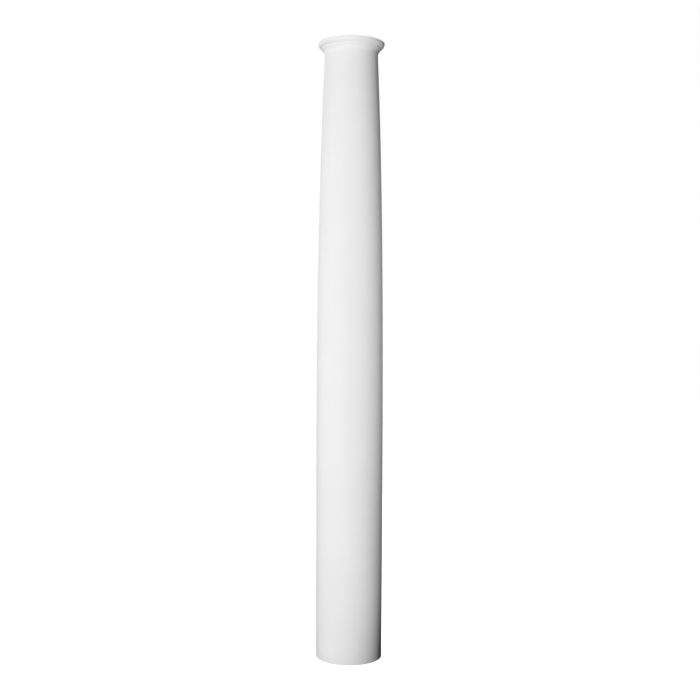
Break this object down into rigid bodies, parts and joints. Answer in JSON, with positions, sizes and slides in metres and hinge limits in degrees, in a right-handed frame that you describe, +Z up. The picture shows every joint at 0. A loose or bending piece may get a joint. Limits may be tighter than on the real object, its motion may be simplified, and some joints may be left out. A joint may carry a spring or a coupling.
{
  "type": "doric column shaft",
  "caption": "Smooth round Doric column shaft with a gentle swell, a moulded bead, fillet and shallow cove at the neck, a square-cut foot and a straight bore.",
  "frame": {"origin": "centre of the round foot, in the plane that the column stands on", "axes": "+Z up along the column's axis, from the foot to the collar; the column is round, so +X and +Y are alike"},
  "size_m": [0.219, 0.219, 2.02],
  "materials": {
    "white_primer": "moulded hard foam with a flat white primer coat"
  },
  "bodies": {
    "root": {"column_shaft": "white_primer"}
  },
  "joints": []
}
